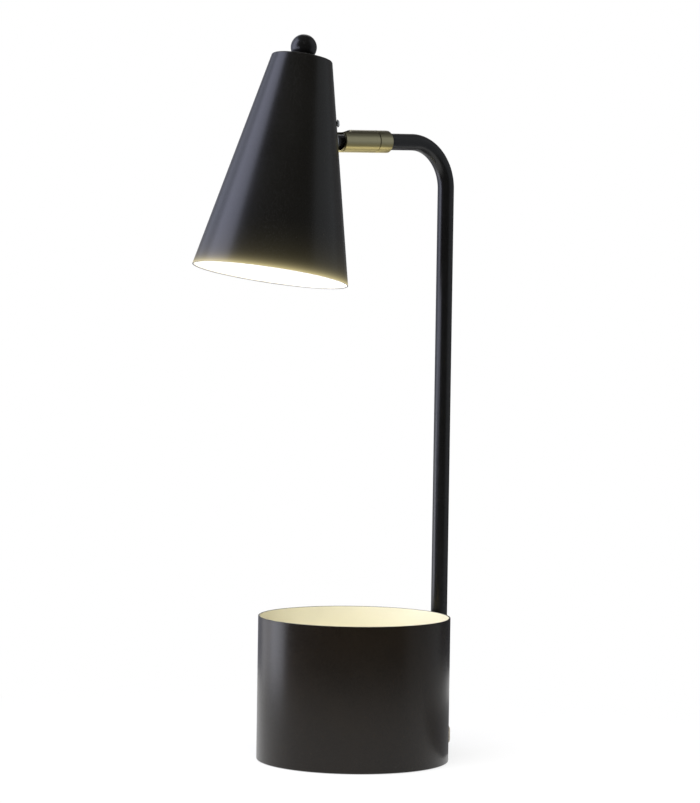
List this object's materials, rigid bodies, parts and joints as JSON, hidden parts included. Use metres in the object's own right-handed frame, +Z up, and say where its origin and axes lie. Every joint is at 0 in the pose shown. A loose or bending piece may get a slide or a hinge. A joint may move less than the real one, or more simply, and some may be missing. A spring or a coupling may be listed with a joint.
{
  "type": "desk lamp with pen pot base",
  "caption": "Desk lamp: a cone shade on a slotted brass ball joint at the end of a bent tube that is screwed to a weighted round pen pot.",
  "frame": {"origin": "centre of the foot pad's underside, which is where the pot's axis meets the desk", "axes": "+Z up along the pot's axis, +X from the pot's axis towards the pole, so the arm and the shade reach towards -X and the arm lies in the XZ plane"},
  "size_m": [0.2454, 0.15, 0.5609],
  "materials": {
    "pot_shell": "matte black powder coat outside, cream paint inside",
    "pot_floor": "cream paint",
    "base_weight": "rough casting",
    "base_plate": "zinc-plated sheet",
    "foot_pad": "fine-grained foam rubber",
    "base_screws": "zinc-plated",
    "pole": "matte black powder coat",
    "pole_plug": "moulded, fine grain",
    "pole_spacers": "matte black powder coat",
    "pole_inserts": "zinc-plated",
    "pole_screws": "zinc-plated",
    "pole_washers": "zinc-plated",
    "cord_bushing": "moulded, beige",
    "pole_leads": "insulation",
    "arm_nipple": "zinc-plated",
    "joint_collar": "satin, turned",
    "joint_sleeve": "satin, turned",
    "snap_ring": "spring steel",
    "ball_spring": "spring steel",
    "ball_seat": "moulded bearing plastic",
    "joint_ball": "matte black powder coat",
    "stem_inner_nut": "zinc-plated",
    "stem_inner_saddle": "zinc-plated",
    "bracket_nuts": "zinc-plated",
    "holder_nut": "zinc-plated",
    "finial_screw": "zinc-plated",
    "holder_bracket": "zinc-plated",
    "finial": "matte black powder coat",
    "joint_stem": "matte black powder coat",
    "bracket_screws": "matte black powder coat",
    "stem_nut": "nickel-plated",
    "stem_saddle": "nickel-plated",
    "shade_shell": "matte black powder coat outside, white paint inside",
    "holder_nipple": "zinc-plated",
    "lampholder_cap": "heat-resistant moulding",
    "lampholder_skirt": "heat-resistant moulding",
    "lampholder_core": "glazed insulator",
    "lampholder_shell": "thin drawn brass",
    "lampholder_contact": "thin drawn brass",
    "bulb_cap": "rolled screw thread",
    "bulb_contact": "tinned",
    "bulb_housing": "white moulding",
    "led_board": "white solder mask",
    "bulb_globe": "opal, lit",
    "lampholder_leads": "insulation"
  },
  "bodies": {
    "stand": {"pot_shell": "pot_shell", "pot_floor": "pot_floor", "base_weight": "base_weight", "base_plate": "base_plate", "foot_pad": "foot_pad", "base_screws": "base_screws", "pole": "pole", "pole_plug": "pole_plug", "pole_spacers": "pole_spacers", "pole_inserts": "pole_inserts", "pole_screws": "pole_screws", "pole_washers": "pole_washers", "cord_bushing": "cord_bushing", "pole_leads": "pole_leads", "arm_nipple": "arm_nipple", "joint_collar": "joint_collar"},
    "sleeve": {"joint_sleeve": "joint_sleeve", "snap_ring": "snap_ring", "ball_spring": "ball_spring", "ball_seat": "ball_seat"},
    "ball": {"joint_ball": "joint_ball"},
    "shade": {"stem_inner_nut": "stem_inner_nut", "stem_inner_saddle": "stem_inner_saddle", "bracket_nuts": "bracket_nuts", "holder_nut": "holder_nut", "finial_screw": "finial_screw", "holder_bracket": "holder_bracket", "finial": "finial", "joint_stem": "joint_stem", "bracket_screws": "bracket_screws", "stem_nut": "stem_nut", "stem_saddle": "stem_saddle", "shade_shell": "shade_shell", "holder_nipple": "holder_nipple", "lampholder_cap": "lampholder_cap", "lampholder_skirt": "lampholder_skirt", "lampholder_core": "lampholder_core", "lampholder_shell": "lampholder_shell", "lampholder_contact": "lampholder_contact", "bulb_cap": "bulb_cap", "bulb_contact": "bulb_contact", "bulb_housing": "bulb_housing", "led_board": "led_board", "bulb_globe": "bulb_globe", "lampholder_leads": "lampholder_leads"}
  },
  "joints": [
    {"name": "sleeve_turn", "type": "hinge", "parent": "stand", "child": "sleeve", "pos_m": [-0.01197, 0, 0.48148], "axis": [-0.9997, 0, -0.0262], "range_deg": [-170, 170]},
    {"name": "shade_tilt", "type": "hinge", "parent": "sleeve", "child": "ball", "pos_m": [-0.01197, 0, 0.48148], "axis": [0, 1, 0], "range_deg": [-8, 50]},
    {"name": "shade_spin", "type": "hinge", "parent": "ball", "child": "shade", "pos_m": [-0.01197, 0, 0.48148], "axis": [-0.999, 0, -0.0452], "range_deg": [-90, 90]}
  ]
}
